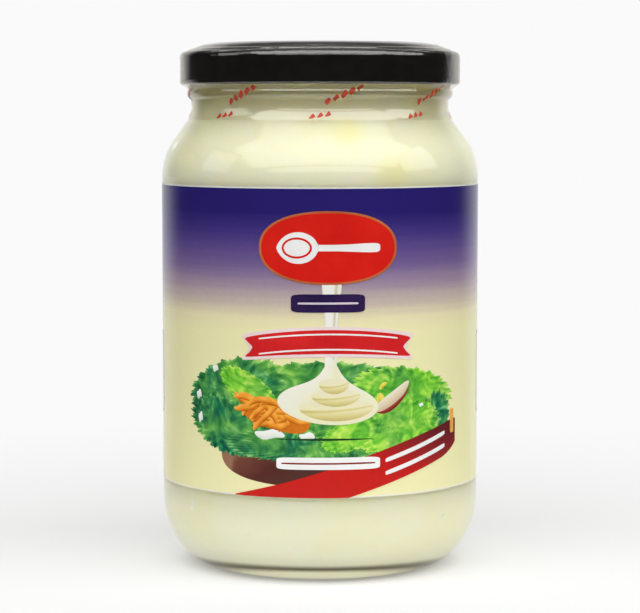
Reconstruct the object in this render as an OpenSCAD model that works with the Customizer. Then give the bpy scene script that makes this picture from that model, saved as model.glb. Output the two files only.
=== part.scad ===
// Glass jar of mayonnaise: a round jar filled to just under its rim, a black
// twist-off lid, a label wrapped round the straight wall and a clear film band
// shrunk over the lid and the neck. The origin is at the middle of the base,
// on the table, with +Z up the jar's axis. Everything is turned about that axis.

/* [Glass body] */
// Outside diameter of the straight wall
body_d = 92; // [86:0.5:112]
// Height of the glass from the table to the rim
jar_h = 148.6; // [95:0.2:200]
// Thickness of the side wall
wall = 2.6; // [1.8:0.1:3.2]
// Thickness of the base
base_t = 6; // [3:0.1:7]
// How far the rounded heel reaches in, from the wall to the ring under it
heel_in = 15; // [8:0.5:20]
// Height of the rounded heel
heel_h = 20.5; // [10:0.5:24]
// Width of the flat ring that the jar stands on, inside the heel
ring_w = 3; // [2:0.5:6]
// Rise of the hollow base in its middle
push_up = 3; // [1:0.25:6]

/* [Shoulder] */
// Radius of the bend from the wall into the shoulder
shoulder_r = 18.7; // [10:0.1:22]
// Slope of the shoulder, from the upright
shoulder_slope = 36; // [28:1:42]
// Radius of the sweep from the shoulder into the neck
sweep_r = 7; // [4:0.25:9]

/* [Neck and rim] */
// Outside diameter of the neck at its narrowest
neck_d = 74.4; // [60:0.2:80]
// Height of the straight waist under the bead
waist_h = 1.8; // [0.5:0.1:6]
// How far the bead under the lid stands out from the neck
bead_out = 1.3; // [1:0.1:2.2]
// Height of the bead
bead_h = 4; // [3.9:0.1:6]
// Radius of the bead's edges
bead_round = 1.9; // [1.2:0.1:1.9]
// How far the wall inside the lid stands out from the neck
finish_out = 0.8; // [0:0.1:1]
// Radius of the rounded rim
rim_r = 1.2; // [0.6:0.1:1.5]

/* [Lid] */
// Thickness of the tinplate
lid_t = 0.25; // [0.2:0.05:0.5]
// Room between the glass and the inside of the skirt
lid_gap = 2.35; // [2:0.05:3.5]
// How far the skirt reaches down below the rim
skirt_drop = 9.3; // [7:0.1:12]
// Radius of the edge rolled inwards at the foot of the skirt
curl_r = 0.95; // [0.6:0.05:1]
// Radius of the bend between the skirt and the crown
crown_bend_r = 1.8; // [0.8:0.1:2]
// How far that bend rises above the rim
bend_rise = 0.3; // [0.3:0.1:1]
// Height of the crown above that bend
crown_h = 2.5; // [2:0.1:5]
// Radius of the flat top that the crown rises to
top_r = 27; // [20:0.5:30]
// Depth of the panel inside that flat top
panel_sink = 0.5; // [0.2:0.1:1]
// Radius of the button in the middle of the panel
button_r = 10; // [6:0.5:14]
// Width of the sealing ring that sits on the rim
seat_w = 4.4; // [3.4:0.1:5]

/* [Label] */
// Thickness of the paper
label_t = 0.15; // [0.1:0.05:0.4]
// Bare wall between the heel and the label
label_foot = 4.9; // [2:0.1:20]
// Bare wall between the label and the shoulder
label_head = 1.7; // [1:0.1:10]
// Thickness of the glue
glue = 0.05; // [0:0.01:0.1]

/* [Film band] */
// Thickness of the film
film_t = 0.12; // [0.05:0.01:0.3]
// Slack between the film and what it wraps
film_slack = 0.05; // [0:0.01:0.1]
// How far the film laps onto the crown, inwards from the skirt
film_lap = 7; // [3:0.5:12]
// How far down the neck's sweep the film ends, as a share of the sweep
film_sweep = 0.95; // [0.2:0.05:1]

/* [Mayonnaise] */
// Space from the rim down to the mayonnaise
head_space = 5; // [1:0.1:8]
// Room between the mayonnaise and the glass
fill_gap = 0.05; // [0:0.01:0.2]

/* [Hidden] */
$fn = 96;

body_r = body_d / 2;
neck_r = neck_d / 2;
finish_r = neck_r + finish_out;
bore_r = neck_r - wall;
ring_r = body_r - heel_in;

// Heights, worked down from the rim
skirt_z = jar_h - skirt_drop;
bead_clear = 0.3;
bead_z = skirt_z - bead_clear - bead_h;
neck_z = bead_z - waist_h;
shoulder_h = shoulder_r * sin(shoulder_slope)
    + sweep_r * sin(shoulder_slope)
    + (body_r - neck_r - (shoulder_r + sweep_r) * (1 - cos(shoulder_slope))) / tan(shoulder_slope);
shoulder_z = neck_z - shoulder_h;

// Lid
lid_r = finish_r + lid_gap + lid_t;
bend_z = jar_h + bend_rise - crown_bend_r;
top_z = bend_z + crown_bend_r + crown_h;
crown_r = lid_r - crown_bend_r;
seat_r = (bore_r + finish_r) / 2;
// How sharply the crown falls away, as a power of the distance from its flat top
crown_power = 2.6;
// Height of the button above the panel round it, and the width of its edge
button_h = 0.2;
button_edge = 1;

// Points on the arc round c, from angle a to angle b, both ends included
function arc(c, r, a, b, n) =
    [for (i = [0:n]) c + r * [cos(a + (b - a) * i / n), sin(a + (b - a) * i / n)]];

// The points of a list from its end to its start
function reversed(p) = [for (i = [len(p) - 1:-1:0]) p[i]];

// Unit normal to the right of an outline's run, at its point i
function normal_at(p, i) =
    let (run = p[min(i + 1, len(p) - 1)] - p[max(i - 1, 0)])
    [run[1], -run[0]] / norm(run);

// An outline moved by d along its own normals
function shifted(p, d) = [for (i = [0:len(p) - 1]) p[i] + d * normal_at(p, i)];

// A closed strip between the outline moved by a and the outline moved by b
function strip(p, a, b) = concat(shifted(p, b), reversed(shifted(p, a)));

// Outline of the base, from the axis to radius r: a dome that dies out at r
function dome(r, z, rise, n) = [for (i = [0:n]) [r * i / n, z + rise * (1 - pow(i / n, 2))]];

// Quarter of an ellipse from the bottom out to the wall, over the ring's edge
function heel(across, up, n) =
    [for (i = [0:n]) [ring_r + across * sin(90 * i / n), heel_h - up * cos(90 * i / n)]];

// Side of the jar from the heel to the foot of the waist, inset by t at the wall
// and by base at the bottom
function side(t, base) = concat(
    heel(heel_in - t, heel_h - base, 12),
    arc([body_r - shoulder_r, shoulder_z], shoulder_r - t, 0, shoulder_slope, 8),
    arc([neck_r + sweep_r, neck_z], sweep_r + t, 180 + shoulder_slope, 180, 6));

// Bead under the lid, from its foot on the neck to its top on the finish
function bead_edge() =
    let (x = neck_r + bead_out - bead_round)
    concat(
        arc([x, bead_z + bead_round], bead_round, -acos((neck_r - x) / bead_round), 0, 6),
        arc([x, bead_z + bead_h - bead_round], bead_round, 0, acos((finish_r - x) / bead_round), 6));

// Top surface of the lid, from its axis out to the bend of the skirt. The
// crown falls away from the flat top faster and faster.
function lid_top() = concat(
    [[0, top_z - panel_sink + button_h]],
    [[button_r, top_z - panel_sink + button_h], [button_r + button_edge, top_z - panel_sink]],
    [[top_r - 3, top_z - panel_sink], [top_r - 2, top_z]],
    crown(top_r, 10));

// The crown from radius r out to the skirt and down to the skirt's foot
function crown(r, n) = concat(
    [for (i = [0:n]) let (x = r + (crown_r - r) * i / n) [x, crown_z(x)]],
    arc([crown_r, bend_z], crown_bend_r, 60, 0, 5));

// Height of the crown at radius x
function crown_z(x) =
    let (fall = top_z - bend_z - crown_bend_r * sin(75))
    top_z - fall * pow(max(0, x - top_r) / (crown_r - top_r), crown_power);

// What the film wraps, from its upper edge on the crown down to its lower edge.
// Under the skirt it spans from the rolled foot to the bead's rounded top.
function film_path() = concat(
    crown(max(top_r, lid_r - film_lap), 6),
    arc([lid_r - curl_r, skirt_z + curl_r], curl_r, 0, -75, 5),
    [for (i = [len(bead_edge()) - 3:-1:0]) bead_edge()[i]],
    arc([neck_r + sweep_r, neck_z], sweep_r, 180, 180 + shoulder_slope * film_sweep, 6));

// Blown glass, one wall all over, with a bead under the lid and a rounded rim
module glass_jar() {
    rim = min(rim_r, (finish_r - bore_r) / 2 - 0.1);
    color("lightcyan", 0.35) rotate_extrude() polygon(concat(
        dome(ring_r - ring_w, 0, push_up, 8),
        side(0, 0),
        bead_edge(),
        arc([finish_r - rim, jar_h - rim], rim, 0, 90, 5),
        arc([bore_r + rim, jar_h - rim], rim, 90, 180, 5),
        reversed(side(wall, base_t)),
        reversed(dome(ring_r - ring_w, base_t, push_up, 8))));
}

// The mayonnaise fills the glass up to the head space
module mayonnaise() {
    color("lemonchiffon") rotate_extrude() polygon(concat(
        dome(ring_r - ring_w, base_t + fill_gap, push_up, 8),
        side(wall + fill_gap, base_t + fill_gap),
        [[bore_r - fill_gap, jar_h - head_space], [0, jar_h - head_space]]));
}

// Pressed tinplate with a rolled foot, and the sealing ring that sits on the rim
module lid() {
    color("black") rotate_extrude() {
        polygon(strip(concat(lid_top(), [[lid_r, skirt_z + curl_r]]), 0, lid_t));
        translate([lid_r - curl_r, skirt_z + curl_r]) circle(r = curl_r, $fn = 32);
        polygon(concat(
            [[seat_r - seat_w / 2, jar_h], [seat_r + seat_w / 2, jar_h]],
            [for (i = [0:6]) let (x = seat_r + seat_w * (1 / 2 - i / 6)) [x, crown_z(x) - lid_t / 2]]));
    }
}

// Paper label, once round the straight wall
module label() {
    foot = heel_h + label_foot;
    color("cornsilk") translate([0, 0, foot]) difference() {
        cylinder(r = body_r + glue + label_t, h = shoulder_z - label_head - foot);
        translate([0, 0, -1]) cylinder(r = body_r + glue, h = shoulder_z);
    }
}

// Clear film shrunk over the crown's edge, the skirt and the neck
module film_band() {
    color("whitesmoke", 0.3) rotate_extrude()
        polygon(strip(film_path(), -film_slack, -film_slack - film_t));
}

glass_jar();
mayonnaise();
lid();
label();
film_band();
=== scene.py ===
"""Looks of a glass jar of mayonnaise with a black twist-off lid, a printed label and a clear film band."""

import math

import bpy
import numpy as np
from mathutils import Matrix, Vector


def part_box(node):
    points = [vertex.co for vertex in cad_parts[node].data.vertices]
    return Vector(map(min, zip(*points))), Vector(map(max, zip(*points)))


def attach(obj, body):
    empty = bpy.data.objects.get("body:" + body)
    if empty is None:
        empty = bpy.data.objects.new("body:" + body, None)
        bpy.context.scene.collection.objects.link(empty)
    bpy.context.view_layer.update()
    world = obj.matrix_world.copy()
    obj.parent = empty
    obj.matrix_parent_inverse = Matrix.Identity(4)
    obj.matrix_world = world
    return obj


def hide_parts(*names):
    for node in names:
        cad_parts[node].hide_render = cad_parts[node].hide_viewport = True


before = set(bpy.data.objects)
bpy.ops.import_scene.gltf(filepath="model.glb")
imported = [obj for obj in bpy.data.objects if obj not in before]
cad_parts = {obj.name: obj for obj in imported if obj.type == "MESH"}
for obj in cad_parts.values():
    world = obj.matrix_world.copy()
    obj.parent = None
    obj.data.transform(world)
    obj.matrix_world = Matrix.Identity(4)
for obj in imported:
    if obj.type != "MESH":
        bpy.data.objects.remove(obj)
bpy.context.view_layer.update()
MM = 0.001

# ---- Glass jar ----------------------------------------------------------------------------------
# Clear soda glass, blown in a two-part mould: a faint seam runs up each side, the ring it stands on
# is knurled, and the inside wall is a little uneven.

WALL = 2.6 * MM
BASE = 6.0 * MM
HEEL_IN, HEEL_H = 15.0 * MM, 20.5 * MM
PUSH_UP = 3.0 * MM
RING = 3.0 * MM
SHOULDER, SWEEP, SLOPE = 18.7 * MM, 7.0 * MM, math.radians(36.0)
NECK = 37.2 * MM
BEAD_OUT, BEAD_H, BEAD_ROUND = 1.3 * MM, 4.0 * MM, 1.9 * MM
FINISH = NECK + 0.8 * MM
WAIST = 1.8 * MM
RIM_ROUND = 1.2 * MM
SEAM_W, SEAM_H = 0.45 * MM, 0.06 * MM
KNURLS, KNURL_H = 80, 0.22 * MM
glass_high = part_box("glass_jar")[1]
lid_low, lid_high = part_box("lid")
label_low, label_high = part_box("label")
BODY = glass_high.x
RIM = glass_high.z
BEAD_Z = lid_low.z - 0.3 * MM - BEAD_H
NECK_Z = BEAD_Z - WAIST
RISE = (SHOULDER + SWEEP) * math.sin(SLOPE)
DROP = BODY - NECK - (SHOULDER + SWEEP) * (1 - math.cos(SLOPE))
SHOULDER_Z = NECK_Z - RISE - DROP / math.tan(SLOPE)
AROUND = 400


def node(tree, kind, inputs=None, **settings):
    """Adds a shader node. An input given as a socket is linked, and any other value is set on it."""
    made = tree.nodes.new("ShaderNode" + kind)
    for key, value in settings.items():
        setattr(made, key, value)
    for key, value in (inputs or {}).items():
        if isinstance(value, bpy.types.NodeSocket):
            tree.links.new(value, made.inputs[key])
        else:
            made.inputs[key].default_value = value
    return made


def arc(x, z, r, a, b, n):
    """n + 1 points on the circle of radius r round (x, z), from angle a to angle b in degrees."""
    t = np.radians(np.linspace(a, b, n + 1))
    return np.stack([x + r * np.cos(t), z + r * np.sin(t)], 1)


def run(a, b, n):
    """n - 1 points between a and b, evenly spaced, without the two ends."""
    t = np.linspace(0, 1, n + 1)[1:-1, None]
    return np.array(a) * (1 - t) + np.array(b) * t


def dome(r, z, rise, n):
    """Outline of a shallow dome from its axis out to radius r: z + rise * (1 - (x / r)^2)."""
    x = np.linspace(0, 1, n + 1)
    return np.stack([r * x, z + rise * (1 - x * x)], 1)


def jar_side(inset, base):
    """Side of the jar from heel to waist, moved in by inset and up by base at the bottom: a quarter of
    an ellipse, the straight wall, the shoulder's arc, a straight slope and the sweep into the neck."""
    t = np.linspace(0, np.pi / 2, 33)
    lower = np.stack([BODY - HEEL_IN + (HEEL_IN - inset) * np.sin(t),
                      HEEL_H - (HEEL_H - base) * np.cos(t)], 1)
    upper = arc(BODY - SHOULDER, SHOULDER_Z, SHOULDER - inset, 0, math.degrees(SLOPE), 14)
    sweep = arc(NECK + SWEEP, NECK_Z, SWEEP + inset, 180 + math.degrees(SLOPE), 180, 8)
    return np.concatenate([lower, run(lower[-1], upper[0], 24), upper, run(upper[-1], sweep[0], 5), sweep])


def bead_edge():
    """Outline of the bead: a round lower edge, a short upright face and a round upper edge."""
    x = NECK + BEAD_OUT - BEAD_ROUND
    low = -math.degrees(math.acos((NECK - x) / BEAD_ROUND))
    high = math.degrees(math.acos((FINISH - x) / BEAD_ROUND))
    return np.concatenate([arc(x, BEAD_Z + BEAD_ROUND, BEAD_ROUND, low, 0, 8),
                           arc(x, BEAD_Z + BEAD_H - BEAD_ROUND, BEAD_ROUND, 0, high, 8)])


def skin(name, grids, poles=True, **marks):
    """One mesh of closed skins, each over a grid of points. Columns run round and join up. With poles
    the first and last rows are drawn together into one point each, and without them the last row
    joins the first. marks are grids of one number a point, kept as attributes."""
    points, faces, kept, base = [], [], {key: [] for key in marks}, 0
    for index, grid in enumerate(grids):
        rows, cols = grid.shape[:2]
        c = np.arange(cols)
        d = (c + 1) % cols
        values = {key: marks[key][index][..., None] for key in marks}
        if poles:
            def flat(g):
                """The grid's points in one list, with its first and last rows drawn together."""
                return np.concatenate([g[:1].mean(1), g[1:-1].reshape(-1, g.shape[2]), g[-1:].mean(1)])
            r = np.arange(rows - 3)[:, None] * cols + 1 + base
            last = base + 1 + (rows - 2) * cols
            top = last - cols
            hubs = [[(base, base + 1 + b, base + 1 + a) for a, b in zip(c.tolist(), d.tolist())],
                    [(top + a, top + b, last) for a, b in zip(c.tolist(), d.tolist())]]
            nxt = r + cols
        else:
            def flat(g):
                """The grid's points in one list."""
                return g.reshape(-1, g.shape[2])
            r = np.arange(rows)[:, None] * cols + base
            nxt = (np.arange(rows)[:, None] + 1) % rows * cols + base
            hubs = [[], []]
        faces += np.stack([r + c, r + d, nxt + d, nxt + c], -1).reshape(-1, 4).tolist()
        faces += hubs[0] + hubs[1]
        points.append(flat(grid))
        for key in marks:
            kept[key].append(flat(values[key]))
        base += len(points[-1])
    mesh = bpy.data.meshes.new(name)
    mesh.from_pydata(np.concatenate(points).tolist(), [], faces)
    for key in marks:
        layer = mesh.attributes.new(key, "FLOAT", "POINT")
        layer.data.foreach_set("value", np.concatenate(kept[key]).ravel().astype(np.float32))
    mesh.polygons.foreach_set("use_smooth", np.ones(len(mesh.polygons), dtype=bool))
    mesh.set_sharp_from_angle(angle=math.radians(50))
    piece = bpy.data.objects.new(name, mesh)
    bpy.context.collection.objects.link(piece)
    return piece


def turned(radius, height, angle):
    """Points of an outline turned about the jar's axis: x = r sin t, y = -r cos t, so t = 0 is the
    front. radius and height have one row for each outline point and one column for each angle."""
    return np.stack([radius * np.sin(angle), -radius * np.cos(angle), height + 0 * angle], -1)


def thick_and_thin(t, z):
    """Unevenness of the inner wall at angle t, in metres: three slow waves round the jar and up it,
    left out close to the base and to the neck."""
    h = z / (30 * MM)
    waves = np.sin(2 * t + h + 0.6) + 0.6 * np.sin(3 * t - 1.7 * h) + 0.5 * np.sin(5 * t + 2.3 * h)
    return 0.09 * MM * waves * ((z > BASE + 4 * MM) & (z < NECK_Z - 3 * MM))


angle = np.linspace(0, 2 * np.pi, AROUND, endpoint=False)[None, :]
flat_r = BODY - HEEL_IN - RING
outer = np.concatenate([dome(flat_r, 0, PUSH_UP, 14), run((flat_r, 0), (BODY - HEEL_IN, 0), 4),
                        jar_side(0, 0), bead_edge(),
                        arc(FINISH - RIM_ROUND, RIM - RIM_ROUND, RIM_ROUND, 0, 90, 6)])
inner_side = jar_side(WALL, BASE)
inner = np.concatenate([arc(NECK - WALL + RIM_ROUND, RIM - RIM_ROUND, RIM_ROUND, 90, 180, 6),
                        inner_side[::-1], dome(flat_r, BASE, PUSH_UP, 14)[::-1]])
r_out, z_out = outer[:, :1], outer[:, 1:]
seam = np.exp(-((np.abs(np.abs(angle - np.pi) - np.pi / 2) * BODY / SEAM_W) ** 2))
bare_wall = (z_out < label_low.z - 3 * MM) | (z_out > label_high.z)
seam_part = np.clip(z_out / (20 * MM), 0, 1) * (r_out > NECK) * bare_wall
on_ring = np.exp(-(((r_out - (BODY - HEEL_IN - RING / 2)) / (1.4 * MM)) ** 2)) * (z_out < 0.2 * MM)
r_outer = r_out + SEAM_H * seam * seam_part
z_outer = z_out + KNURL_H * on_ring * (0.5 + 0.5 * np.cos(KNURLS * angle))
r_in, z_in = inner[:, :1], inner[:, 1:]
r_inner = r_in + thick_and_thin(angle, z_in)
glass = skin("glass_jar_clear", [turned(np.concatenate([r_outer, r_inner]),
                                        np.concatenate([z_outer, z_in + 0 * angle]), angle)])

clear = bpy.data.materials.new("clear_glass")
clear.use_nodes = True
tree = clear.node_tree
body = tree.nodes["Principled BSDF"]
body.inputs["Base Color"].default_value = (0.985, 0.995, 0.985, 1.0)
body.inputs["Transmission Weight"].default_value = 1.0
body.inputs["Roughness"].default_value = 0.0
body.inputs["IOR"].default_value = 1.5
place = node(tree, "TexCoord")
ripple = node(tree, "TexNoise", {"Vector": place.outputs["Object"], "Scale": 60.0, "Detail": 1.0})
relief = node(tree, "Bump", {"Height": ripple.outputs["Fac"], "Strength": 0.08, "Distance": 0.0008})
tree.links.new(relief.outputs[0], body.inputs["Normal"])
glass.data.materials.append(clear)
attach(glass, "root")
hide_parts("glass_jar")

# ---- Mayonnaise ---------------------------------------------------------------------------------
# Thick, opaque cream that fills the glass. It was spooned and shaken against the wall, so it has
# paler smears, yellower patches and a few small air pockets where it doesn't touch the glass.

INTO_WALL = 0.14 * MM
FILL_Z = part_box("mayonnaise")[1].z
# each patch: turn from the front, height in mm, half width in radians, half height in mm, how yellow
OILY_PATCHES = ((0.19, 126.0, 0.13, 3.5, 0.7), (0.47, 114.5, 0.12, 4.5, 0.6),
                (-0.05, 127.0, 0.14, 2.5, 0.35), (0.05, 138.5, 0.9, 2.2, 0.6),
                (-0.75, 134.5, 0.3, 1.6, 0.5), (0.85, 134.5, 0.12, 1.8, 0.5),
                (2.3, 122.0, 0.3, 5.0, 0.6), (-2.4, 118.0, 0.25, 4.0, 0.6), (3.0, 14.0, 0.4, 3.0, 0.4),
                (-1.6, 126.0, 0.2, 4.0, 0.6), (1.5, 120.0, 0.15, 5.0, 0.5))
# each pocket: turn from the front, height in mm, half width in mm
AIR_POCKETS = ((-0.47, 14.5, 0.35), (0.35, 21.5, 0.7), (1.9, 118.0, 1.5), (-1.3, 121.0, 1.2),
               (2.8, 16.0, 1.1), (-2.3, 123.0, 1.3), (0.9, 17.5, 0.6), (-0.95, 20.0, 0.8),
               (2.2, 22.0, 0.9), (-2.7, 19.0, 0.8))
POCKET_DEPTH = 0.6 * MM
# painted shade: height of the dark olive ring painted along the filling's foot, just above the glass base
PAINTED_SHADE_LINE = 0.42 * MM


def away_from(turn):
    """How far each angle round the jar lies from turn, the short way round, in radians."""
    return np.abs((angle - turn + np.pi) % (2 * np.pi) - np.pi)


fill_side = jar_side(WALL, BASE)
fill_side = fill_side[fill_side[:, 1] < FILL_Z]
floor_line = dome(flat_r, BASE, PUSH_UP, 14)
r_side, z_side = fill_side[:, :1], fill_side[:, 1:]
r_fill = r_side + thick_and_thin(angle, z_side) + INTO_WALL
for turn, high, size in AIR_POCKETS:
    across = away_from(turn) * BODY / (size * MM)
    up = (z_side - high * MM) / (0.7 * size * MM)
    r_fill = r_fill - POCKET_DEPTH * np.exp(-(across ** 2 + up ** 2) ** 2)
sunk_in = INTO_WALL * np.clip((HEEL_H - z_side) / (HEEL_H - BASE), 0, 1)
top_x = np.linspace(1, 0, 14)[:, None]
top_r = (NECK - WALL + INTO_WALL) * top_x
top_z = FILL_Z + 0.5 * MM * (np.cos(9 * top_x - 2 * angle) - 1) * np.sin(np.pi * top_x) ** 2
oily = 0 * (r_fill + z_side)
for turn, high, wide, tall, how_much in OILY_PATCHES:
    across = away_from(turn) / wide
    oily = oily + how_much * np.exp(-(across ** 2 + ((z_side - high * MM) / (tall * MM)) ** 2) ** 1.5)
oily = np.concatenate([0 * floor_line[:, :1] + 0 * angle, oily, 0 * top_r + 0 * angle])
# painted shade: the cream darkens in a thin ring along its foot, where it meets the glass base
shaded = np.exp(-(((z_side - BASE) / PAINTED_SHADE_LINE) ** 2)) + 0 * angle
shaded = np.concatenate([0 * floor_line[:, :1] + 0 * angle, shaded, 0 * top_r + 0 * angle])
fill_r = np.concatenate([floor_line[:, :1] + 0 * angle, r_fill, top_r + 0 * angle])
fill_z = np.concatenate([floor_line[:, 1:] - INTO_WALL + 0 * angle, z_side - sunk_in + 0 * angle, top_z])
cream = skin("mayonnaise_fill", [turned(fill_r, fill_z, angle)], oily=[oily], shaded=[shaded])

creamy = bpy.data.materials.new("mayonnaise_cream")
creamy.use_nodes = True
tree = creamy.node_tree
body = tree.nodes["Principled BSDF"]
place = node(tree, "TexCoord")
oily = node(tree, "Attribute", attribute_name="oily")
cloud = node(tree, "TexNoise", {"Vector": place.outputs["Object"], "Scale": 45.0, "Detail": 3.0,
                                "Distortion": 0.8})
share = node(tree, "Math", {0: cloud.outputs["Fac"], 1: 0.9, 2: -0.35}, operation="MULTIPLY_ADD")
share = node(tree, "Math", {0: oily.outputs["Fac"], 1: share.outputs[0]}, operation="ADD", use_clamp=True)
patch = node(tree, "ValToRGB", {"Fac": share.outputs[0]})
patch.color_ramp.elements[0].position = 0.0
patch.color_ramp.elements[0].color = (0.985, 0.975, 0.790, 1.0)
patch.color_ramp.elements[1].position = 1.0
patch.color_ramp.elements[1].color = (0.955, 0.890, 0.480, 1.0)
# painted shade: the shaded mark mixes the cream's tone towards dark olive in the ring along its foot
shaded = node(tree, "Attribute", attribute_name="shaded")
tone = node(tree, "Mix", {0: shaded.outputs["Fac"], 6: patch.outputs["Color"], 7: (0.13, 0.11, 0.045, 1.0)},
            data_type="RGBA")
tree.links.new(tone.outputs[2], body.inputs["Base Color"])
body.inputs["Roughness"].default_value = 0.5
body.inputs["Specular IOR Level"].default_value = 0.0
body.inputs["Subsurface Weight"].default_value = 0.6
body.inputs["Subsurface Radius"].default_value = (1.0, 0.8, 0.45)
body.inputs["Subsurface Scale"].default_value = 0.006
cream.data.materials.append(creamy)
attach(cream, "root")
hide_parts("mayonnaise")

# ---- Label paper --------------------------------------------------------------------------------
# Varnished paper, glued once round the straight wall with a lapped seam at the back. It is printed
# violet at the top, and the violet fades through lavender into cream.

PAPER_R = BODY + 0.03 * MM
LAP = 6.0 * MM
rows_up = np.linspace(label_low.z, label_high.z, 60)[:, None]
lap = 0.09 * MM * ((np.pi - angle) * BODY > 0) * ((np.pi - angle) * BODY < LAP)
paper_r = np.concatenate([PAPER_R + lap + 0 * rows_up, BODY - 0.1 * MM + 0 * angle + 0 * rows_up[::-1]])
paper_z = np.concatenate([rows_up, rows_up[::-1]]) + 0 * angle
label = skin("label_paper", [turned(paper_r, paper_z, angle)], poles=False)


def ramp(tree, factor, stops):
    """A colour ramp through stops of (place from 0 to 1, red, green, blue)."""
    made = node(tree, "ValToRGB", {"Fac": factor})
    marks = made.color_ramp.elements
    while len(marks) < len(stops):
        marks.new(0.5)
    for mark, stop in zip(marks, stops):
        mark.position = stop[0]
    for mark, stop in zip(marks, stops):
        mark.color = (*stop[1:], 1.0)
    return made.outputs["Color"]


def blend(tree, factor, a, b, how="MIX"):
    """Mixes two colours by factor, which is a number or a socket."""
    made = node(tree, "Mix", {0: factor, 6: a, 7: b}, data_type="RGBA", blend_type=how)
    return made.outputs[2]


def ink_material(name, roughness=0.22, gloss=0.22):
    """A new material, its tree, its shader, and the Object coordinates of its piece. Every print
    colour lies under the same varnish."""
    made = bpy.data.materials.new(name)
    made.use_nodes = True
    tree = made.node_tree
    body = tree.nodes["Principled BSDF"]
    body.inputs["Roughness"].default_value = roughness
    body.inputs["Specular IOR Level"].default_value = gloss
    return made, tree, body, node(tree, "TexCoord").outputs["Object"]


# height in mm, red, green, blue
FADE = ((104, 0.021, 0.013, 0.145), (99, 0.052, 0.033, 0.200), (94, 0.105, 0.068, 0.250),
        (89, 0.185, 0.125, 0.290), (84, 0.350, 0.262, 0.345), (79, 0.570, 0.485, 0.400),
        (75, 0.790, 0.730, 0.450), (71, 0.840, 0.805, 0.450))
violet, tree, body, spot = ink_material("label_violet_to_cream")
height = node(tree, "SeparateXYZ", {"Vector": spot})
streaks = node(tree, "Mapping", {"Vector": spot, "Scale": (14.0, 14.0, 900.0)})
streaky = node(tree, "TexNoise", {"Vector": streaks.outputs[0], "Scale": 1.0, "Detail": 3.0})
shake = node(tree, "Math", {0: streaky.outputs["Fac"], 1: 0.0024, 2: -0.0012}, operation="MULTIPLY_ADD")
shaken = node(tree, "Math", {0: height.outputs["Z"], 1: shake.outputs[0]}, operation="ADD")
share = node(tree, "MapRange", {"Value": shaken.outputs[0], "From Min": 110 * MM, "From Max": 70 * MM,
                                "To Min": 0.0, "To Max": 1.0})
tint = ramp(tree, share.outputs[0], [((110 - z) / 40, r, g, b) for z, r, g, b in FADE])
fine = node(tree, "TexNoise", {"Vector": spot, "Scale": 900.0, "Detail": 2.0})
tint = blend(tree, 0.08, tint, fine.outputs["Color"], "OVERLAY")
middle = (label_low.z + label_high.z) / 2
from_middle = node(tree, "Math", {0: height.outputs["Z"], 1: middle}, operation="SUBTRACT")
from_middle = node(tree, "Math", {0: from_middle.outputs[0]}, operation="ABSOLUTE")
bare = node(tree, "Math", {0: from_middle.outputs[0], 1: label_high.z - middle - 0.35 * MM},
            operation="GREATER_THAN")
tint = blend(tree, bare.outputs[0], tint, (0.80, 0.79, 0.72, 1.0))
tree.links.new(tint, body.inputs["Base Color"])
label.data.materials.append(violet)
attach(label, "root")
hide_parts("label")

# ---- Print: badge and word places ---------------------------------------------------------------
# Varnished inks on the paper's front. A plain oval badge holds a spoon, a navy bar stands below it,
# and a red banner with swallow tails arches under the bar.

INK = 0.018 * MM
INTO_PAPER = 0.06 * MM
FRONT_R = label_high.x


def round_shape(rings, around, power=2.0):
    """Unit shape |u|^power + |v|^power <= 1 as rings from its centre out: 1 is a diamond, 2 is a
    circle and more is a rounded square. Columns turn anticlockwise."""
    a = np.linspace(0, 2 * np.pi, around, endpoint=False)[None, :]
    grow = np.linspace(0, 1, rings + 1)[:, None]
    size = (np.abs(np.cos(a)) ** power + np.abs(np.sin(a)) ** power) ** (1 / power)
    return grow * np.cos(a) / size, grow * np.sin(a) / size


def printed(name, finish, shapes, **marks):
    """Closed films of ink on the label. Each shape is (layer, s, z) in millimetres, where s runs
    round the jar from the middle of the front: x = r sin(s / R), y = -r cos(s / R). marks are grids
    of one number a point that the finish reads."""
    grids = []
    for layer, s, z in shapes:
        turn, up = s[:, ::-1] * MM / FRONT_R, z[:, ::-1] * MM
        r = np.concatenate([np.full(turn.shape, PAPER_R + layer * INK),
                            np.full(turn.shape, PAPER_R - INTO_PAPER)])
        grids.append(turned(r, np.concatenate([up, up[::-1]]), np.concatenate([turn, turn[::-1]])))
    kept = {key: [np.concatenate([g[:, ::-1], g[::-1, ::-1]]) for g in given]
            for key, given in marks.items()}
    piece = skin(name, grids, **kept)
    piece.data.materials.append(finish)
    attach(piece, "root")
    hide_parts("label")
    return piece


def grain(tree, spot, tint, amount=0.10):
    """Lays the fine unevenness of a printed dot screen over a colour."""
    dots = node(tree, "TexNoise", {"Vector": spot, "Scale": 1100.0, "Detail": 2.0})
    return blend(tree, amount, tint, dots.outputs["Color"], "OVERLAY")


def plain_ink(name, dark, light):
    """An ink that clouds slightly between two tones."""
    made, tree, body, spot = ink_material(name)
    cloud = node(tree, "TexNoise", {"Vector": spot, "Scale": 90.0, "Detail": 3.0})
    tint = ramp(tree, cloud.outputs["Fac"], [(0.3, *dark), (0.7, *light)])
    tree.links.new(grain(tree, spot, tint), body.inputs["Base Color"])
    return made


def shaded_ink(name, stops, wander=0.15, scale=180.0):
    """An ink whose tone follows the piece's own light mark, shaken by noise."""
    made, tree, body, spot = ink_material(name)
    light = node(tree, "Attribute", attribute_name="light")
    cloud = node(tree, "TexNoise", {"Vector": spot, "Scale": scale, "Detail": 3.0})
    shake = node(tree, "Math", {0: cloud.outputs["Fac"], 1: 2 * wander, 2: -wander},
                 operation="MULTIPLY_ADD")
    level = node(tree, "Math", {0: light.outputs["Fac"], 1: shake.outputs[0]}, operation="ADD")
    tint = ramp(tree, level.outputs[0], stops)
    tree.links.new(grain(tree, spot, tint), body.inputs["Base Color"])
    return made


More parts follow.
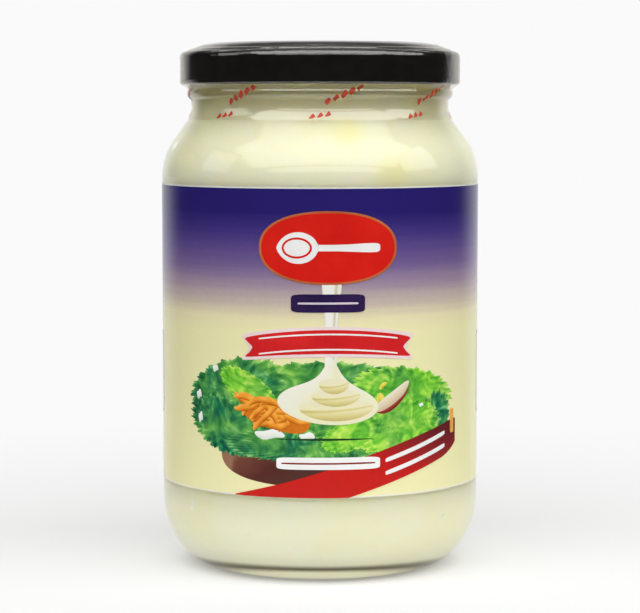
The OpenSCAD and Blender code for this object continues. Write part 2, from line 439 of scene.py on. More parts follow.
BADGE_S, BADGE_Z = 2.4, 94.5
u, v = round_shape(24, 220, 2.25)
printed("print_badge_rim", plain_ink("orange_line", (0.42, 0.10, 0.03), (0.55, 0.17, 0.06)),
        [(7.0, BADGE_S + 19.6 * u, BADGE_Z + 10.1 * v)])
printed("print_badge", plain_ink("badge_red", (0.62, 0.012, 0.008), (0.72, 0.018, 0.010)),
        [(7.5, BADGE_S + 18.9 * u, BADGE_Z + 9.5 * v)])

u, v = round_shape(22, 220, 5.0)
bowl_end = np.sqrt(np.clip(1 - ((u + 0.60) / 0.40) ** 2, 0, 1))
stem = 0.20 + 0.16 * np.clip((u - 0.1) / 0.9, 0, 1) ** 1.5
spoon_half = np.maximum(bowl_end, stem * (u > -0.6))
white_ink = plain_ink("print_white", (0.82, 0.82, 0.80), (0.90, 0.90, 0.88))
red_line = plain_ink("badge_red_line", (0.60, 0.012, 0.008), (0.70, 0.018, 0.010))
printed("print_spoon", white_ink, [(8.0, BADGE_S + 14.5 * u, BADGE_Z + 4.4 * spoon_half * v)])
u, v = round_shape(8, 80)
printed("print_spoon_hollow", red_line, [(8.2, BADGE_S - 8.8 + 4.2 * u, BADGE_Z + 2.9 * v)])
printed("print_spoon_shine", white_ink, [(8.3, BADGE_S - 8.8 + 3.6 * u, BADGE_Z + 2.3 * v)])

u, v = round_shape(12, 160, 8.0)
BAR_S, BAR_Z = 2.25, 79.3
navy = plain_ink("navy_ink", (0.020, 0.010, 0.055), (0.032, 0.016, 0.080))
printed("print_bar", navy, [(7.0, BAR_S + 10.3 * u, BAR_Z + 2.5 * v)])
printed("print_bar_line", plain_ink("pale_line", (0.60, 0.55, 0.62), (0.70, 0.66, 0.70)),
        [(7.5, BAR_S + 8.4 * u, BAR_Z + 0.28 * v)])


BANNER_S, BANNER_Z = 2.5, 68.7


def banner(long, tall, notch):
    """A banner with swallow tails: s = s0 + long u - notch (1 - |v|) sign(u) |u|^14, on an arch whose
    ends hang two millimetres lower than its middle."""
    u, v = round_shape(30, 420, 14.0)
    s = BANNER_S + long * u - notch * (1 - np.abs(v)) * np.sign(u) * np.abs(u) ** 14
    return s, BANNER_Z - 2.0 * u * u + (tall - 0.5 * u * u) * v


printed("print_banner_edge", plain_ink("banner_pale", (0.80, 0.62, 0.62), (0.86, 0.72, 0.71)),
        [(7.0, *banner(25.6, 4.2, 3.4))])
printed("print_banner", plain_ink("banner_red", (0.56, 0.014, 0.018), (0.68, 0.022, 0.022)),
        [(7.5, *banner(24.6, 3.3, 3.4))])
u, v = round_shape(24, 300, 12.0)
bow = BANNER_Z - 2.0 * (u * 22.0 / 25.6) ** 2
printed("print_banner_lines", white_ink,
        [(8.0, BANNER_S + 19.8 * u, bow + side + 0.22 * v) for side in (-2.1, 2.1)])


# ---- Print: salad bowl --------------------------------------------------------------------------
# A picture of a red-brown bowl of lettuce, with carrot shreds, a slice of apple and drops of water.
# It is printed in dots on the same paper.

u, v = round_shape(30, 300, 2.6)
bowl_s = 0.5 + 30.0 * u
bowl_z = 37.5 + np.where(v < 0, 9.0, 3.0) * v
bowl_light = 0.45 - 0.55 * u + 0.25 * v + 0.25 * np.exp(-((u + 0.93) / 0.06) ** 2)
printed("print_bowl", shaded_ink("bowl_brown", [(0.0, 0.115, 0.075, 0.030), (0.35, 0.075, 0.030, 0.022),
                                                (0.6, 0.095, 0.022, 0.018), (0.85, 0.17, 0.060, 0.035),
                                                (1.0, 0.30, 0.15, 0.09)], 0.10),
        [(0.5, bowl_s, bowl_z)], light=[bowl_light])


def leaf(s, z, wide, tall, lean, frills, start):
    """A frilled leaf round (s, z): an oval of wide by tall, leaned by lean degrees, whose edge waves
    with the angle at three integer counts. Returns s, z and light: slow folds, ruffles that deepen
    towards the edge, a bright crest along it and a shaded furrow inside the crest."""
    rings = max(12, int(max(wide, tall) / 1.3))
    a = np.linspace(0, 2 * np.pi, 330, endpoint=False)[None, :]
    grow = 1 - (1 - np.linspace(0, 1, rings + 1)[:, None]) ** 1.6
    edge = (1 + 0.040 * np.sin(frills * a + start) + 0.030 * np.sin((2 * frills + 3) * a + 2 * start)
            + 0.020 * np.sin((4 * frills + 1) * a + 3 * start))
    far = grow * (1 + (edge - 1) * grow ** 2)
    p, q = wide * far * np.cos(a), tall * far * np.sin(a)
    t = math.radians(lean)
    crest = np.exp(-((grow - 0.97) / 0.035) ** 2) - 0.9 * np.exp(-((grow - 0.86) / 0.07) ** 2)
    light = (0.50 + 0.10 * np.sin(3 * a + 5 * grow + start) * np.sin(6 * grow + start)
             + 0.16 * grow ** 3 * np.sin(frills * a + start + 9 * grow)
             + 0.10 * grow ** 6 * np.sin((2 * frills + 3) * a - 6 * grow + start) + 0.16 * crest)
    return s + p * math.cos(t) - q * math.sin(t), z + p * math.sin(t) + q * math.cos(t), light


# each leaf: s, z, half width, half height, lean, frills round the edge, where the frills start, tone
LEAVES = ((2.0, 56.5, 25.0, 6.6, -1.0, 23, 0.4, 0.35), (-25.5, 55.2, 16.5, 8.0, 14.0, 19, 1.3, 0.26),
          (26.0, 54.3, 17.0, 6.6, -10.0, 21, 2.2, 0.92), (-21.0, 55.5, 9.5, 4.2, -28.0, 15, 0.9, 0.95),
          (-27.5, 44.6, 14.2, 7.6, -16.0, 25, 2.9, 0.18), (35.6, 45.6, 6.2, 8.2, -18.0, 15, 1.9, 0.22),
          (-1.0, 40.6, 27.0, 5.0, 2.0, 37, 0.7, 0.12), (22.5, 44.6, 15.0, 7.2, 6.0, 23, 3.3, 0.85),
          (0.5, 46.2, 11.0, 4.0, 3.0, 17, 1.1, 0.45), (9.0, 43.0, 9.0, 4.2, 20.0, 15, 4.4, 0.72))
lettuce, tree, body, spot = ink_material("lettuce_greens")
light = node(tree, "Attribute", attribute_name="light")
tone = node(tree, "Attribute", attribute_name="tone")
fold = node(tree, "TexNoise", {"Vector": spot, "Scale": 170.0, "Detail": 5.0, "Distortion": 1.8})
patchy = node(tree, "TexNoise", {"Vector": spot, "Scale": 75.0, "Detail": 2.0, "Distortion": 0.6})
lift = node(tree, "Math", {0: fold.outputs["Fac"], 1: 1.7, 2: -0.85}, operation="MULTIPLY_ADD")
level = node(tree, "Math", {0: light.outputs["Fac"], 1: lift.outputs[0]}, operation="ADD")
drift = node(tree, "Math", {0: patchy.outputs["Fac"], 1: 1.6, 2: -0.80}, operation="MULTIPLY_ADD")
hue = node(tree, "Math", {0: tone.outputs["Fac"], 1: drift.outputs[0]}, operation="ADD", use_clamp=True)
deep = ramp(tree, level.outputs[0], [(0.05, 0.002, 0.040, 0.034), (0.35, 0.006, 0.110, 0.066),
                                     (0.60, 0.022, 0.240, 0.080), (0.95, 0.200, 0.540, 0.210)])
bright = ramp(tree, level.outputs[0], [(0.05, 0.050, 0.290, 0.026), (0.35, 0.130, 0.500, 0.040),
                                       (0.60, 0.300, 0.690, 0.062), (0.95, 0.640, 0.840, 0.150)])
green = blend(tree, hue.outputs[0], deep, bright)
tree.links.new(grain(tree, spot, green, 0.06), body.inputs["Base Color"])
shapes, lights, tones = [], [], []
for place, (s, z, wide, tall, lean, frills, start, tone_of_leaf) in enumerate(LEAVES):
    leaf_s, leaf_z, leaf_light = leaf(s, z, wide, tall, lean, frills, start)
    shapes.append((1.0 + 0.42 * place, leaf_s, leaf_z))
    lights.append(leaf_light)
    tones.append(np.full(leaf_s.shape, tone_of_leaf))
printed("print_lettuce", lettuce, shapes, light=lights, tone=tones)


def strip(s, z, long, wide, lean, bow, power=3.0, rings=9, around=56):
    """A strip round (s, z): long by wide, turned by lean degrees and bowed sideways by bow. Returns
    s, z and light, which is brightest above its middle line."""
    u, v = round_shape(rings, around, power)
    p, q = long / 2 * u, wide / 2 * v + bow * (1 - u * u)
    t = math.radians(lean)
    return (s + p * math.cos(t) - q * math.sin(t), z + p * math.sin(t) + q * math.cos(t),
            0.5 + 0.35 * v - 0.25 * v * v + 0.1 * np.sin(5 * u))


rng = np.random.default_rng(7)
heap = [strip(-12.5, 48.0, 20.0, 8.2, -14.0, 0.4, 2.4, 14, 160)]
heap[0] = (*heap[0][:2], 0.15 + 0.1 * heap[0][2])
for _ in range(26):
    along, aside = rng.uniform(-1, 1), rng.uniform(-1, 1)
    heap.append(strip(-12.8 + 8.2 * along, 48.3 - 2.0 * along + 2.7 * aside, rng.uniform(5, 10),
                      rng.uniform(1.2, 2.0), rng.uniform(-60, 45), rng.uniform(-1.6, 1.6)))
carrot = shaded_ink("carrot_orange", [(0.0, 0.46, 0.10, 0.010), (0.3, 0.72, 0.22, 0.015),
                                      (0.6, 0.88, 0.37, 0.045), (1.0, 0.95, 0.60, 0.18)], 0.12)
printed("print_carrot", carrot, [(5.1 + 0.03 * i, s, z) for i, (s, z, _) in enumerate(heap)],
        light=[h[2] for h in heap])

u, v = round_shape(12, 120)
slice_s = 20.6 + 5.5 * u
slice_z = 53.4 + 3.6 * u + np.where(v < 0, 2.4, 1.9) * v - 0.9 * (1 - u * u)
printed("print_apple", shaded_ink("apple_flesh", [(0.0, 0.52, 0.40, 0.22), (0.5, 0.72, 0.62, 0.44),
                                                  (1.0, 0.85, 0.80, 0.68)], 0.10),
        [(5.6, slice_s, slice_z)], light=[0.5 + 0.4 * v])
skin_z = 53.1 + 3.6 * u - 0.9 * (1 - u * u) + (-1.75 + 0.75 * v) * np.sqrt(1 - u * u)
printed("print_apple_skin", shaded_ink("apple_skin", [(0.0, 0.12, 0.010, 0.010), (0.5, 0.28, 0.030, 0.025),
                                                      (1.0, 0.45, 0.09, 0.06)], 0.10),
        [(5.9, slice_s + 0.7, skin_z)], light=[0.5 + 0.4 * v])

# each drop: s, z, half width, half height
DROPS = ((-38.2, 52.6, 1.0, 1.2), (-37.6, 46.2, 0.9, 1.4), (-31.6, 60.4, 1.0, 0.9), (-14.2, 42.9, 4.4, 1.3),
         (-3.6, 42.6, 2.2, 1.0), (30.4, 50.2, 0.8, 0.5), (33.0, 41.5, 0.9, 0.7))
u, v = round_shape(8, 70)
printed("print_drops", shaded_ink("drop_white", [(0.0, 0.52, 0.60, 0.50), (0.5, 0.80, 0.84, 0.76),
                                                 (1.0, 0.92, 0.93, 0.90)], 0.10),
        [(5.3, s + wide * u, z + tall * v + 0.25 * tall * np.sin(4 * u)) for s, z, wide, tall in DROPS],
        light=[0.55 + 0.35 * v for _ in DROPS])
# each bit: s, z, half length, half width, lean
PEPPER = ((15.6, 49.4, 2.4, 0.8, 12), (13.2, 48.6, 1.8, 0.6, -20), (18.0, 56.2, 1.4, 0.6, 40),
          (17.2, 52.4, 1.2, 1.6, 10))
bits = [strip(s, z, 2 * wide, 2 * tall, lean, 0.3, 2.2) for s, z, wide, tall, lean in PEPPER]
printed("print_pepper", shaded_ink("pepper_yellow", [(0.0, 0.50, 0.40, 0.03), (0.5, 0.76, 0.66, 0.08),
                                                     (1.0, 0.86, 0.80, 0.28)], 0.15),
        [(5.4, s, z) for s, z, _ in bits], light=[b[2] for b in bits])


# ---- Print: pour of mayonnaise ------------------------------------------------------------------
# The same picture's white pour: a stream falls from behind the badge onto a heaped white pool, on
# which it lies in three coils.

u, v = round_shape(24, 240, 10.0)
fall_z = 73.4 + 12.0 * v
fall_half = 1.75 + 1.1 * np.clip((fall_z - 72) / 12, 0, 1) ** 1.5
printed("print_stream", shaded_ink("stream_cream", [(0.0, 0.36, 0.33, 0.20), (0.3, 0.66, 0.62, 0.44),
                                                    (0.6, 0.82, 0.81, 0.72), (1.0, 0.88, 0.88, 0.86)], 0.05),
        [(5.95, 3.1 + 0.15 * v + fall_half * u, fall_z)],
        light=[0.80 - 0.55 * np.exp(-((u - 0.45) / 0.22) ** 2) - 0.45 * np.abs(u) ** 6])

u, v = round_shape(24, 260)
pool_top = 5.4 + 7.6 / (1 + ((u - 0.06) / 0.19) ** 2)
pool_z = 51.4 - 0.9 * u + np.where(v < 0, 5.6 * v, pool_top * v)
under_coils = np.exp(-((u - 0.12) / 0.5) ** 2 - ((v + 0.05) / 0.55) ** 2)
beside_cone = np.exp(-(((u - 0.17) / 0.07) ** 2)) * np.clip(3 * v - 0.7, 0, 1)
pool_light = (0.92 + 0.12 * v - 0.08 * u - 0.40 * under_coils - 0.5 * np.clip(-v - 0.70, 0, 1)
              - 0.25 * beside_cone)
printed("print_pool", shaded_ink("pool_white", [(0.0, 0.40, 0.37, 0.22), (0.30, 0.62, 0.58, 0.38),
                                                (0.60, 0.80, 0.77, 0.50), (0.85, 0.82, 0.80, 0.58),
                                                (1.0, 0.84, 0.83, 0.70)], 0.03),
        [(6.4, 2.3 + 14.2 * u, pool_z)], light=[pool_light])
# each coil: s, z, half width, half height
COILS = ((4.6, 50.4, 10.4, 3.0), (4.4, 53.7, 6.8, 2.3), (3.9, 57.0, 4.2, 2.1))
u, v = round_shape(16, 160)
printed("print_coils", shaded_ink("coil_cream", [(0.0, 0.50, 0.42, 0.13), (0.25, 0.68, 0.60, 0.24),
                                                 (0.55, 0.82, 0.77, 0.48), (1.0, 0.80, 0.76, 0.55)], 0.03),
        [(6.8 + 0.35 * i, s + wide * u, z + tall * v - 0.6 * (1 - u * u))
         for i, (s, z, wide, tall) in enumerate(COILS)],
        light=[0.55 + 0.50 * v - 0.30 * np.exp(-((v + 0.05 - 0.25 * u) / 0.12) ** 2) for _ in COILS])


# ---- Print: ribbon ------------------------------------------------------------------------------
# A red ribbon sweeps up across the label's foot, from a point at the left to a cut end at the right.
# A white bar and two thin stripes lie on it, and a short orange strip stands at its end.

u, v = round_shape(70, 640, 24.0)
rib_s = 10.2 + 34.9 * u
rib_top = 25.8 + 0.285 * (rib_s + 24.7) + 0.45 * np.sin(np.pi * (rib_s - 8) / 34)
rib_foot = 25.45 + np.clip(0.30 * (rib_s - 8.0), 0, None) + 1.6 * np.clip((rib_s - 38) / 7, 0, 1) ** 2
ribbon_light = 1 - 0.95 * np.clip((rib_s - 12) / 30, 0, 1) - 0.25 * v * (rib_s > 10)
ribbon_red = shaded_ink("ribbon_red", [(0.0, 0.120, 0.012, 0.016), (0.35, 0.26, 0.016, 0.018),
                                       (0.7, 0.48, 0.012, 0.010), (1.0, 0.55, 0.013, 0.009)], 0.04)
printed("print_ribbon", ribbon_red,
        [(6.2, rib_s, (rib_top + rib_foot) / 2 + (rib_top - rib_foot) / 2 * v)],
        light=[np.clip(ribbon_light, 0, 1)])
u, v = round_shape(14, 160, 8.0)
printed("print_stripes", white_ink,
        [(7.0, 29.3 + 10.6 * u, middle + 0.29 * 10.6 * u + 0.62 * v) for middle in (38.5, 34.9)])
printed("print_plate", white_ink, [(8.0, 2.4 + 14.6 * u, 35.0 + 1.7 * v)])
printed("print_plate_line", plain_ink("plate_line", (0.20, 0.022, 0.020), (0.28, 0.030, 0.028)),
        [(8.3, 2.4 + 13.2 * u, 35.0 + 0.24 * v)])
printed("print_thread", plain_ink("dark_green_line", (0.010, 0.045, 0.015), (0.016, 0.060, 0.020)),
        [(7.0, 1.3 + 13.6 * u, 41.7 + 0.30 * v * (1 - 0.8 * u * u))])
u, v = round_shape(6, 60, 10.0)
printed("print_tab", plain_ink("orange_ink", (0.72, 0.32, 0.06), (0.84, 0.45, 0.11)),
        [(7.0, 43.4 + 0.85 * u, 44.6 + 3.4 * v)])


# ---- Print: back panel --------------------------------------------------------------------------
# Two plain cream panels with a thin navy frame, printed on the label's two back quarters.

PANEL_S, PANEL_Z = 86.5, 56.5
u, v = round_shape(26, 280, 16.0)
for side, name in ((-1, "left"), (1, "right")):
    cream_ink = plain_ink("panel_cream_" + name, (0.78, 0.75, 0.44), (0.84, 0.81, 0.50))
    printed("print_panel_frame_" + name, navy, [(1.0, side * PANEL_S + 22.5 * u, PANEL_Z + 12.0 * v)])
    printed("print_panel_" + name, cream_ink, [(1.6, side * PANEL_S + 22.0 * u, PANEL_Z + 11.5 * v)])

# ---- Lid ----------------------------------------------------------------------------------------
# Tinplate pressed into a cap: a sloping crown with a shallow step round it, an upright skirt and an
# edge rolled inwards at the foot. It is lacquered gloss black outside and gold inside.

LID_T = 0.25 * MM
LID_R = lid_high.x
SKIRT_Z = lid_low.z
TOP_Z = lid_high.z
CURL = 0.95 * MM
BEND = 1.8 * MM
FLAT_TOP = 27.0 * MM
PANEL_SINK = 0.5 * MM
BUTTON, BUTTON_H = 10.0 * MM, 0.2 * MM
CROWN_R = LID_R - BEND
CROWN_POWER = 2.6
STEP_R, STEP_H = 37.2 * MM, 0.20 * MM
BEND_Z = RIM + 0.3 * MM - BEND


def crown_height(x):
    """Height of the crown at radius x. It falls away from the flat top as a power of the distance,
    and a shallow step runs round it near its outer edge."""
    fall = TOP_Z - BEND_Z - BEND * math.sin(math.radians(75))
    share = np.clip((x - FLAT_TOP) / (CROWN_R - FLAT_TOP), 0, None)
    step = STEP_H / 2 * (np.tanh((x - STEP_R) / (0.25 * MM)) - 1) * (x > FLAT_TOP)
    return TOP_Z - fall * share ** CROWN_POWER + step * np.exp(-(((x - STEP_R) / (2.2 * MM)) ** 2))


def lid_outline(inset):
    """Outline of the lid's top and skirt from the axis outwards and down, moved in by inset."""
    x = np.concatenate([np.linspace(0, BUTTON, 10), np.linspace(BUTTON + 1 * MM, FLAT_TOP - 3 * MM, 10)])
    low = TOP_Z - PANEL_SINK
    z = low + BUTTON_H * (1 - np.clip((x - BUTTON) / (1 * MM), 0, 1))
    step = np.linspace(FLAT_TOP - 3 * MM, FLAT_TOP - 2 * MM, 8)[1:]
    ease = (1 - np.cos(np.pi * (step - step[0]) / (step[-1] - step[0]))) / 2
    crown = np.linspace(FLAT_TOP, CROWN_R, 60)
    top = np.concatenate([np.stack([x, z], 1), np.stack([step, low + PANEL_SINK * ease], 1),
                          np.stack([crown, crown_height(crown)], 1)])
    bend = arc(CROWN_R, BEND_Z, BEND - inset, 68, 0, 8)
    skirt = run((LID_R - inset, BEND_Z), (LID_R - inset, SKIRT_Z + CURL), 8)
    return np.concatenate([top - [0, inset], bend, skirt])


hidden = lid_outline(LID_T)
shown = lid_outline(0)
roll = arc(LID_R - CURL, SKIRT_Z + CURL, CURL, 60, 360, 20)
lid_line = np.concatenate([hidden, roll, shown[::-1]])
lid_angle = np.linspace(0, 2 * np.pi, 360, endpoint=False)[None, :]
inside = (np.arange(len(lid_line)) < len(hidden))[:, None] + 0.0 * lid_angle
cap = skin("lid_black", [turned(lid_line[:, :1], lid_line[:, 1:], lid_angle)], inside=[inside])

lacquer, tree, body, spot = ink_material("black_lacquer", gloss=0.5)
dust = node(tree, "TexNoise", {"Vector": spot, "Scale": 260.0, "Detail": 5.0})
black = ramp(tree, dust.outputs["Fac"], [(0.35, 0.0015, 0.0014, 0.0012), (0.75, 0.006, 0.005, 0.0045)])
inner_side = node(tree, "Attribute", attribute_name="inside")
tint = blend(tree, inner_side.outputs["Fac"], black, (0.62, 0.50, 0.24, 1.0))
tree.links.new(tint, body.inputs["Base Color"])
worn = node(tree, "MapRange", {"Value": dust.outputs["Fac"], "From Min": 0.3, "From Max": 0.8,
                               "To Min": 0.10, "To Max": 0.20})
tree.links.new(worn.outputs[0], body.inputs["Roughness"])
peel = node(tree, "TexNoise", {"Vector": spot, "Scale": 700.0, "Detail": 1.0})
relief = node(tree, "Bump", {"Height": peel.outputs["Fac"], "Strength": 0.06, "Distance": 0.0003})
tree.links.new(relief.outputs[0], body.inputs["Normal"])
cap.data.materials.append(lacquer)
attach(cap, "root")
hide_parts("lid")

# ---- Film band ----------------------------------------------------------------------------------
# Clear shrink film, slipped over the closed jar and shrunk with hot air onto the crown's edge, the
# skirt, the bead and the neck. It puckers where it turns over the lid's edges.

FILM_T = 0.06 * MM
FILM_SLACK = 0.05 * MM
FILM_LAP = 7.0 * MM
FILM_SWEEP = 0.95 * math.degrees(SLOPE)
FOLD_LOW, FOLD_HIGH = 12.0 * MM, 20.8 * MM
film_angle = np.linspace(0, 2 * np.pi, 540, endpoint=False)[None, :]


def film_line():
    """What the film wraps, from its lower edge up: the neck's sweep, the waist, the bead, the span to
    the rolled foot, the skirt, the bend and the crown's edge."""
    sweep = arc(NECK + SWEEP, NECK_Z, SWEEP, 180 + FILM_SWEEP, 180, 8)
    bead = bead_edge()[:-3]
    foot = arc(LID_R - CURL, SKIRT_Z + CURL, CURL, -75, 0, 6)
    bend = arc(CROWN_R, BEND_Z, BEND, 0, 64, 7)
    x = np.linspace(CROWN_R, LID_R - FILM_LAP, 14)
    crown = np.stack([x, crown_height(x)], 1)
    return np.concatenate([sweep, run(sweep[-1], bead[0], 3), bead, run(bead[-1], foot[0], 4), foot,
                           run(foot[-1], bend[0], 10), bend, crown])


line = film_line()
along_line = np.concatenate([[0], np.cumsum(np.hypot(*np.diff(line, axis=0).T))])
tangent = np.gradient(line, along_line, axis=0)
across_line = np.stack([tangent[:, 1], -tangent[:, 0]], 1) / np.hypot(*tangent.T)[:, None]


def pucker(angle, along):
    """How far the film stands off, in metres: slanting folds, strongest at the skirt's two edges and
    weak over the neck, each fold a sharpened wave so that it reads as a crease."""
    edges = (np.exp(-(((along - FOLD_LOW) / (2.2 * MM)) ** 2))
             + np.exp(-(((along - FOLD_HIGH) / (2.6 * MM)) ** 2)))
    wave = np.sin(46 * angle + along / (1.9 * MM) + 1.6 * np.sin(5 * angle))
    other = np.sin(31 * angle - along / (2.7 * MM) + 2.1 * np.sin(3 * angle + 1.0))
    patchy = 0.5 + 0.5 * np.sin(2 * angle + 0.9) * np.sin(7 * angle + along / (6 * MM))
    crease = np.clip(wave, 0, 1) ** 4 + 0.7 * np.clip(other, 0, 1) ** 4
    return 0.09 * MM * crease * patchy * (0.15 + edges) + 0.01 * MM * (1 + other)


def film_points(offset):
    """The film's face at offset from what it wraps, with its puckers, turned round the axis."""
    away = FILM_SLACK + offset + pucker(film_angle, along_line[:, None])
    return turned(line[:, :1] + away * across_line[:, :1], line[:, 1:] + away * across_line[:, 1:],
                  film_angle)


film = skin("film_clear", [np.concatenate([film_points(FILM_T), film_points(0)[::-1]])], poles=False)

wrap = bpy.data.materials.new("clear_film")
wrap.use_nodes = True
tree = wrap.node_tree
body = tree.nodes["Principled BSDF"]
body.inputs["Base Color"].default_value = (1.0, 1.0, 1.0, 1.0)
body.inputs["Metallic"].default_value = 1.0
body.inputs["Roughness"].default_value = 0.1
place = node(tree, "TexCoord")
crinkle = node(tree, "TexNoise", {"Vector": place.outputs["Object"], "Scale": 380.0, "Detail": 2.0})
relief = node(tree, "Bump", {"Height": crinkle.outputs["Fac"], "Strength": 0.15, "Distance": 0.0003})
tree.links.new(relief.outputs[0], body.inputs["Normal"])
through = node(tree, "BsdfTransparent", {"Color": (0.975, 0.965, 0.945, 1.0)})
slant = node(tree, "LayerWeight", {"Blend": 0.5, "Normal": relief.outputs[0]})
steep = node(tree, "Math", {0: slant.outputs["Facing"], 1: 5.0}, operation="POWER")
mirror = node(tree, "Math", {0: steep.outputs[0], 1: 0.16, 2: 0.05}, operation="MULTIPLY_ADD")
film_mix = node(tree, "MixShader", {0: mirror.outputs[0], 1: through.outputs[0], 2: body.outputs[0]})
tree.links.new(film_mix.outputs[0], tree.nodes["Material Output"].inputs["Surface"])
film.data.materials.append(wrap)
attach(film, "root")
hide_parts("film_band")

# ---- Marks on the film --------------------------------------------------------------------------
# Slanting rows of small red diamonds, printed on the film before it is cut. They climb to the right
# round the neck, and the lower rows are cut off by the film's edge.

MARK_GROUPS = 8
MARK_SLANT = math.radians(26.7)
MARK_STEP = 2.5 * MM
MARK_R = 38.6 * MM
HALF_WIDE, HALF_TALL = 0.95 * MM, 1.35 * MM
small_u, small_v = round_shape(4, 24, 1.15)
cut_v = np.where(small_v < 0, 0.2, 1.0) * small_v
# each row: degrees back from the group's middle, height up the film, marks each side, slant, shape
MARK_ROWS = ((0.0, 7.9 * MM, 2, 1.0, small_v), (10.0, 1.1 * MM, 1, 0.3, cut_v))
marks = []
for group in range(MARK_GROUPS):
    for back, base, each_side, slant, shape_v in MARK_ROWS:
        middle = math.radians(10.0 - back + 360.0 / MARK_GROUPS * group)
        for step in np.arange(-each_side, each_side + 1) * MARK_STEP:
            p, q = HALF_WIDE * small_u, HALF_TALL * shape_v
            t = base + slant * step * math.sin(MARK_SLANT) + q + 0.25 * p
            a = middle + (step * math.cos(MARK_SLANT) + p + 0.2 * q) / MARK_R
            marks.append((a[:, ::-1], t[:, ::-1]))


def on_film(a, t, offset):
    """Points at angle a and distance t up the film's outline, offset from what the film wraps."""
    away = FILM_SLACK + offset + pucker(a, t)
    x, z = (np.interp(t, along_line, line[:, i]) for i in (0, 1))
    out_x, out_z = (np.interp(t, along_line, across_line[:, i]) for i in (0, 1))
    return turned(x + away * out_x, z + away * out_z, a)


film_print = skin("film_marks", [np.concatenate([on_film(a, t, FILM_T + 0.02 * MM),
                                                 on_film(a, t, 0.5 * FILM_T)[::-1]]) for a, t in marks])
film_print.data.materials.append(plain_ink("film_red", (0.46, 0.040, 0.022), (0.60, 0.080, 0.045)))
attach(film_print, "root")
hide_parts("film_band")

# ---- Studio -------------------------------------------------------------------------------------
# A white sweep behind the jar and a dark room behind the camera. Softboxes hang above, in front and
# at both sides, and a narrow one above the back lights the lid's edge. The camera stands level with
# the jar's neck and looks down a little.

camera_data = bpy.data.cameras.new("camera")
camera_data.lens = 133.6
camera_data.sensor_width = 36.0
camera = bpy.data.objects.new("camera", camera_data)
camera.location = (0.0, -0.694, 0.1337)
camera.rotation_euler = (math.radians(85.13), 0.0, 0.0)
bpy.context.collection.objects.link(camera)
bpy.context.scene.camera = camera
bpy.context.scene.view_settings.view_transform = "Standard"
bpy.context.scene.cycles.blur_glossy = 0.0
bpy.context.scene.cycles.diffuse_bounces = 8
bpy.context.scene.cycles.glossy_bounces = 8


def softbox(name, width, height, place, aim, strength, feather=0.3):
    """A lit cloth panel at place that faces aim. Its light fades out over the feather share of its
    half width and half height."""
    mesh = bpy.data.meshes.new(name)
    x, y = width / 2, height / 2
    mesh.from_pydata([(-x, -y, 0), (-x, y, 0), (x, y, 0), (x, -y, 0)], [], [(0, 1, 2, 3)])
    panel = bpy.data.objects.new(name, mesh)
    away = np.array(place) - np.array(aim)
    panel.location = place
    panel.rotation_euler = (math.atan2(math.hypot(away[0], away[1]), away[2]), 0.0,
                            math.atan2(away[0], -away[1]))
    panel.visible_camera = False
    bpy.context.collection.objects.link(panel)
    cloth = bpy.data.materials.new(name)
    cloth.use_nodes = True
    tree = cloth.node_tree
    tree.nodes.clear()
    at = node(tree, "SeparateXYZ", {"Vector": node(tree, "TexCoord").outputs["Object"]})
    fades = []
    for axis, half in (("X", x), ("Y", y)):
        far = node(tree, "Math", {0: at.outputs[axis]}, operation="ABSOLUTE")
        fades.append(node(tree, "MapRange", {"Value": far.outputs[0], "From Min": half,
                                             "From Max": half * (1 - feather), "To Min": 0.0, "To Max": 1.0},
                          interpolation_type="SMOOTHSTEP").outputs[0])
    level = node(tree, "Math", {0: fades[0], 1: fades[1]}, operation="MULTIPLY")
    level = node(tree, "Math", {0: level.outputs[0], 1: strength}, operation="MULTIPLY")
    front = node(tree, "NewGeometry")
    facing = node(tree, "Math", {0: 1.0, 1: front.outputs["Backfacing"]}, operation="SUBTRACT")
    level = node(tree, "Math", {0: level.outputs[0], 1: facing.outputs[0]}, operation="MULTIPLY")
    lit = node(tree, "Emission", {"Color": (1.0, 1.0, 1.0, 1.0), "Strength": level.outputs[0]})
    tree.links.new(lit.outputs[0], node(tree, "OutputMaterial").inputs["Surface"])
    mesh.materials.append(cloth)


JAR_MIDDLE = (0.0, 0.0, 0.1)
softbox("softbox_above", 3.8, 1.6, (0.05, -0.72, 1.15), JAR_MIDDLE, 2.6)
softbox("softbox_front", 3.0, 0.7, (0.10, -1.35, 0.75), JAR_MIDDLE, 1.9)
softbox("softbox_right", 1.3, 1.2, (1.75, -0.35, 1.0), JAR_MIDDLE, 2.4)
softbox("softbox_left", 1.0, 1.0, (-1.75, -0.25, 0.8), JAR_MIDDLE, 1.3)
softbox("softbox_back", 2.2, 0.13, (0.0, 0.72, 1.06), JAR_MIDDLE, 2.6)

world = bpy.data.worlds.new("studio")
bpy.context.scene.world = world
world.use_nodes = True
air = world.node_tree
air.nodes.clear()
look = node(air, "TexCoord")
split = node(air, "SeparateXYZ", {"Vector": look.outputs["Generated"]})
sweep_up = node(air, "MapRange", {"Value": split.outputs["Z"], "From Min": 0.25, "From Max": 0.60,
                                  "To Min": 1.0, "To Max": 0.14}, interpolation_type="SMOOTHSTEP")
turned_right = node(air, "Math", {0: split.outputs["X"], 1: 0.08, 2: split.outputs["Y"]},
                    operation="MULTIPLY_ADD")
back = node(air, "MapRange", {"Value": turned_right.outputs[0], "From Min": 0.58, "From Max": 0.88,
                              "To Min": 0.04, "To Max": 1.0}, interpolation_type="SMOOTHSTEP")
behind = node(air, "Math", {0: back.outputs[0], 1: sweep_up.outputs[0]}, operation="MULTIPLY")
above = node(air, "MapRange", {"Value": split.outputs["Z"], "From Min": 0.30, "From Max": 0.75,
                               "To Min": 0.0, "To Max": 0.25}, interpolation_type="SMOOTHSTEP")
bright = node(air, "Math", {0: behind.outputs[0], 1: above.outputs[0]}, operation="MAXIMUM")
seen = node(air, "LightPath")
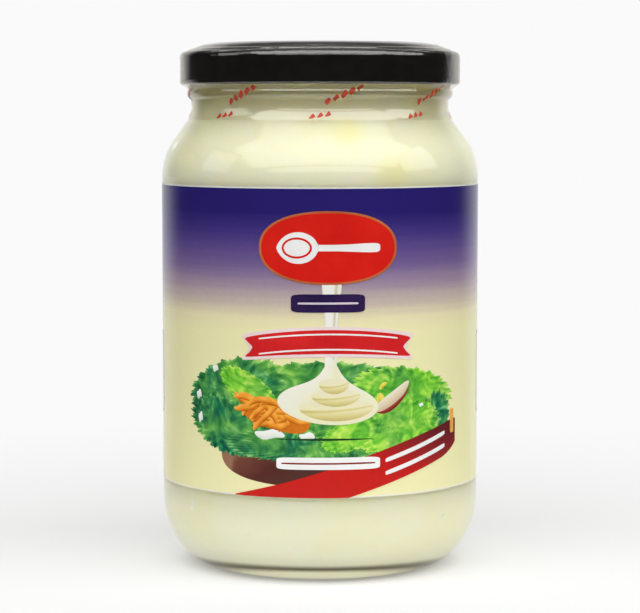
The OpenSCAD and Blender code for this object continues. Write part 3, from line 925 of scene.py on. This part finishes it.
level = node(air, "Mix", {0: seen.outputs["Is Camera Ray"], 2: bright.outputs[0], 3: 0.955})
glow = node(air, "Background", {"Color": (1.0, 1.0, 1.0, 1.0), "Strength": level.outputs[0]})
air.links.new(glow.outputs[0], node(air, "OutputWorld").inputs["Surface"])

floor_mesh = bpy.data.meshes.new("floor")
floor_half = 6.0
floor_mesh.from_pydata([(-floor_half, -floor_half, 0), (floor_half, -floor_half, 0),
                        (floor_half, floor_half, 0), (-floor_half, floor_half, 0)], [], [(0, 1, 2, 3)])
floor = bpy.data.objects.new("floor", floor_mesh)
bpy.context.collection.objects.link(floor)
paper = bpy.data.materials.new("white_sweep")
paper.use_nodes = True
tree = paper.node_tree
tree.nodes.clear()
place = node(tree, "TexCoord")
reach = node(tree, "VectorMath", {0: place.outputs["Object"]}, operation="LENGTH")
fade = node(tree, "MapRange", {"Value": reach.outputs["Value"], "From Min": 0.10, "From Max": 0.32,
                               "To Min": 0.0, "To Max": 1.0}, interpolation_type="SMOOTHSTEP")
card = node(tree, "BsdfDiffuse", {"Color": (0.5, 0.5, 0.5, 1.0)})
share = node(tree, "Math", {0: reach.outputs["Value"], 1: 0.05}, operation="DIVIDE")
# painted light and shadow: the floor glows brightly in a disc under the jar, lighting the filling's
# underside
# through the base, and dimly in a ring round the jar's foot, which is a painted contact shadow
# the floor's own glow: radius from the jar's axis in mm, and how strong
FLOOR_LIGHT_AND_SHADOW = ((27, 0.72), (30, 0.16), (34, 0.20), (42, 0.37))
under = ramp(tree, share.outputs[0], [(r / 50, g, g, g) for r, g in FLOOR_LIGHT_AND_SHADOW])
lit = node(tree, "Emission", {"Color": under, "Strength": 1.0})
near = node(tree, "AddShader", {0: card.outputs[0], 1: lit.outputs[0]})
sides = node(tree, "SeparateXYZ", {"Vector": place.outputs["Object"]})
aim = node(tree, "Math", {0: sides.outputs["Y"], 1: reach.outputs["Value"]}, operation="DIVIDE")
in_front = node(tree, "MapRange", {"Value": aim.outputs[0], "From Min": 0.45, "From Max": 0.80,
                                   "To Min": 0.04, "To Max": 0.955}, interpolation_type="SMOOTHSTEP")
seen = node(tree, "LightPath")
shine = node(tree, "Mix", {0: seen.outputs["Is Camera Ray"], 2: in_front.outputs[0], 3: 0.955})
far = node(tree, "Emission", {"Color": (1.0, 1.0, 1.0, 1.0), "Strength": shine.outputs[0]})
mixed = node(tree, "MixShader", {0: fade.outputs[0], 1: near.outputs[0], 2: far.outputs[0]})
tree.links.new(mixed.outputs[0], node(tree, "OutputMaterial").inputs["Surface"])
floor_mesh.materials.append(paper)
